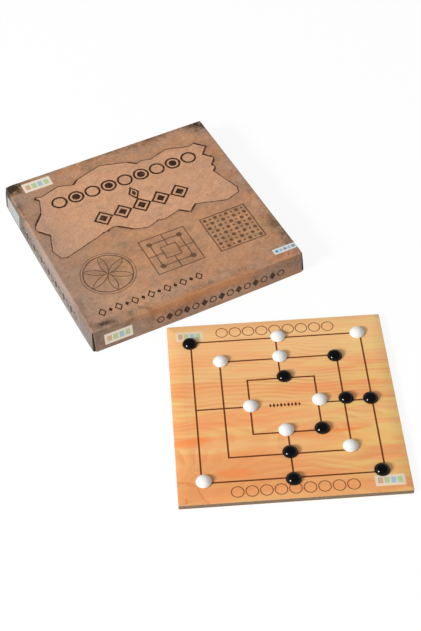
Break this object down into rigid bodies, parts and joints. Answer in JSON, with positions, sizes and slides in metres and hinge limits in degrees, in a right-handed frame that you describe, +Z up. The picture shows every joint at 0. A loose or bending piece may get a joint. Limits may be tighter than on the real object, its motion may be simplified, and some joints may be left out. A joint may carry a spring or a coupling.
{
  "type": "board game box with board and stones",
  "caption": "Flat square card box with a lift-off lid, and a morris board with domed playing stones laid out in front of it.",
  "frame": {"origin": "middle of the tray's underside, on the table", "axes": "+X along the box's front edge to the right, +Y from the box's front to its back, +Z up; the board lies at -Y, turned 22.8 degrees clockwise seen from above"},
  "size_m": [0.3136, 0.5904, 0.03],
  "materials": {
    "lid_card": "satin",
    "tray_card": "matte",
    "insert_card": "matte",
    "leaflet_paper": "matte",
    "board_fibre": "matte",
    "board_print": "satin",
    "stone_white": "gloss",
    "stone_black": "gloss"
  },
  "bodies": {
    "tray": {"tray": "tray_card", "insert": "insert_card", "rules_leaflet": "leaflet_paper"},
    "lid": {"lid": "lid_card"},
    "board": {"board_core": "board_fibre", "board_face_print": "board_print", "board_back_print": "board_print"},
    "stone_white_1": {"stone_white_1": "stone_white"},
    "stone_white_2": {"stone_white_2": "stone_white"},
    "stone_white_3": {"stone_white_3": "stone_white"},
    "stone_white_4": {"stone_white_4": "stone_white"},
    "stone_white_5": {"stone_white_5": "stone_white"},
    "stone_white_6": {"stone_white_6": "stone_white"},
    "stone_white_7": {"stone_white_7": "stone_white"},
    "stone_white_8": {"stone_white_8": "stone_white"},
    "stone_white_9": {"stone_white_9": "stone_white"},
    "stone_black_1": {"stone_black_1": "stone_black"},
    "stone_black_2": {"stone_black_2": "stone_black"},
    "stone_black_3": {"stone_black_3": "stone_black"},
    "stone_black_4": {"stone_black_4": "stone_black"},
    "stone_black_5": {"stone_black_5": "stone_black"},
    "stone_black_6": {"stone_black_6": "stone_black"},
    "stone_black_7": {"stone_black_7": "stone_black"},
    "stone_black_8": {"stone_black_8": "stone_black"},
    "stone_black_9": {"stone_black_9": "stone_black"}
  },
  "joints": [
    {"name": "lid_lift", "type": "slide", "parent": "tray", "child": "lid", "axis": [0, 0, 1], "range_m": [0, 0.08]},
    {"name": "board_lift", "type": "slide", "parent": "tray", "child": "board", "axis": [0, 0, 1], "range_m": [0, 0.06]},
    {"name": "stone_white_1_lift", "type": "slide", "parent": "board", "child": "stone_white_1", "axis": [0, 0, 1], "range_m": [0, 0.03]},
    {"name": "stone_white_2_lift", "type": "slide", "parent": "board", "child": "stone_white_2", "axis": [0, 0, 1], "range_m": [0, 0.03]},
    {"name": "stone_white_3_lift", "type": "slide", "parent": "board", "child": "stone_white_3", "axis": [0, 0, 1], "range_m": [0, 0.03]},
    {"name": "stone_white_4_lift", "type": "slide", "parent": "board", "child": "stone_white_4", "axis": [0, 0, 1], "range_m": [0, 0.03]},
    {"name": "stone_white_5_lift", "type": "slide", "parent": "board", "child": "stone_white_5", "axis": [0, 0, 1], "range_m": [0, 0.03]},
    {"name": "stone_white_6_lift", "type": "slide", "parent": "board", "child": "stone_white_6", "axis": [0, 0, 1], "range_m": [0, 0.03]},
    {"name": "stone_white_7_lift", "type": "slide", "parent": "board", "child": "stone_white_7", "axis": [0, 0, 1], "range_m": [0, 0.03]},
    {"name": "stone_white_8_lift", "type": "slide", "parent": "board", "child": "stone_white_8", "axis": [0, 0, 1], "range_m": [0, 0.03]},
    {"name": "stone_white_9_lift", "type": "slide", "parent": "board", "child": "stone_white_9", "axis": [0, 0, 1], "range_m": [0, 0.03]},
    {"name": "stone_black_1_lift", "type": "slide", "parent": "board", "child": "stone_black_1", "axis": [0, 0, 1], "range_m": [0, 0.03]},
    {"name": "stone_black_2_lift", "type": "slide", "parent": "board", "child": "stone_black_2", "axis": [0, 0, 1], "range_m": [0, 0.03]},
    {"name": "stone_black_3_lift", "type": "slide", "parent": "board", "child": "stone_black_3", "axis": [0, 0, 1], "range_m": [0, 0.03]},
    {"name": "stone_black_4_lift", "type": "slide", "parent": "board", "child": "stone_black_4", "axis": [0, 0, 1], "range_m": [0, 0.03]},
    {"name": "stone_black_5_lift", "type": "slide", "parent": "board", "child": "stone_black_5", "axis": [0, 0, 1], "range_m": [0, 0.03]},
    {"name": "stone_black_6_lift", "type": "slide", "parent": "board", "child": "stone_black_6", "axis": [0, 0, 1], "range_m": [0, 0.03]},
    {"name": "stone_black_7_lift", "type": "slide", "parent": "board", "child": "stone_black_7", "axis": [0, 0, 1], "range_m": [0, 0.03]},
    {"name": "stone_black_8_lift", "type": "slide", "parent": "board", "child": "stone_black_8", "axis": [0, 0, 1], "range_m": [0, 0.03]},
    {"name": "stone_black_9_lift", "type": "slide", "parent": "board", "child": "stone_black_9", "axis": [0, 0, 1], "range_m": [0, 0.03]}
  ]
}
